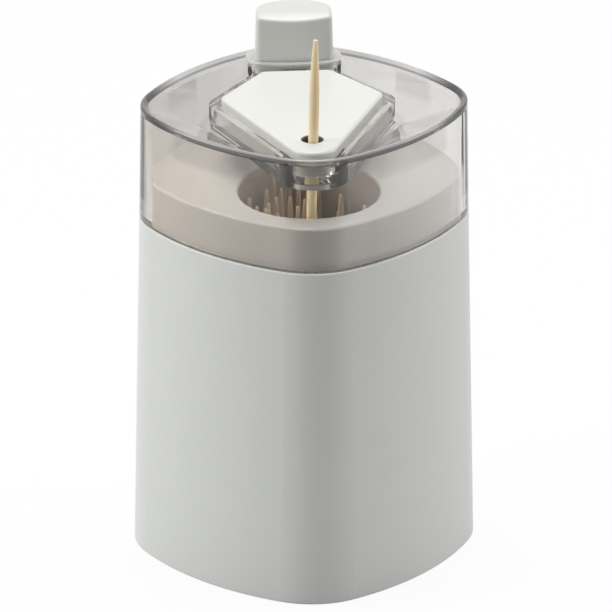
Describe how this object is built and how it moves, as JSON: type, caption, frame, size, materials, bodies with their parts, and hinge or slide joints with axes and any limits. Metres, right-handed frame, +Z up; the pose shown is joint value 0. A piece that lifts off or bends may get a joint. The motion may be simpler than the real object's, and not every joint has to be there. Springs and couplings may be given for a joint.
{
  "type": "toothpick dispenser",
  "caption": "Square push-button toothpick dispenser with a smoky clear dished lid, a kite-shaped outlet plate and an opaque tapered body.",
  "frame": {"origin": "centre of the foot, on the table", "axes": "+Z up; +Y towards the corner with the button; the outlet is at -Y; +X to the right seen from the front"},
  "size_m": [0.0692, 0.0692, 0.1146],
  "materials": {
    "body_plastic": "pale warm grey satin ABS",
    "base_plastic": "grey matte ABS",
    "container_plastic": "white satin PP",
    "smoky_clear_plastic": "smoky brown-grey clear acrylic",
    "cover_plastic": "white satin ABS",
    "button_plastic": "white satin ABS",
    "gate_plastic": "white acetal",
    "spring_wire": "drawn spring wire",
    "pick_wood": "pale birch"
  },
  "bodies": {
    "base": {"outer_body": "body_plastic", "base_plate": "base_plastic", "pick_container": "container_plastic", "toothpick_bundle": "pick_wood"},
    "lid": {"lid": "smoky_clear_plastic", "cover_plate": "cover_plastic", "button_spring_left": "spring_wire", "button_spring_right": "spring_wire"},
    "button": {"push_button": "button_plastic"},
    "gate": {"gate_slider": "gate_plastic"},
    "pick": {"toothpick": "pick_wood"}
  },
  "joints": [
    {"name": "lid_lift", "type": "slide", "parent": "base", "child": "lid", "axis": [0, 0, 1], "range_m": [0, 0.045]},
    {"name": "button_press", "type": "slide", "parent": "lid", "child": "button", "axis": [0, 0, -1], "range_m": [0, 0.004], "stiffness_N_per_m": 300, "springref_m": -0.004, "deforming": ["button_spring_left", "button_spring_right"]},
    {"name": "gate_draw", "type": "slide", "parent": "lid", "child": "gate", "axis": [0, 1, 0], "range_m": [0, 0.002]},
    {"name": "pick_slide", "type": "slide", "parent": "lid", "child": "pick", "axis": [0.0209, 0, 0.9998], "range_m": [-0.0385, 0.0455]}
  ],
  "couplings": [
    {"joint": "gate_draw", "follows": "button_press", "ratio": 0.5}
  ]
}
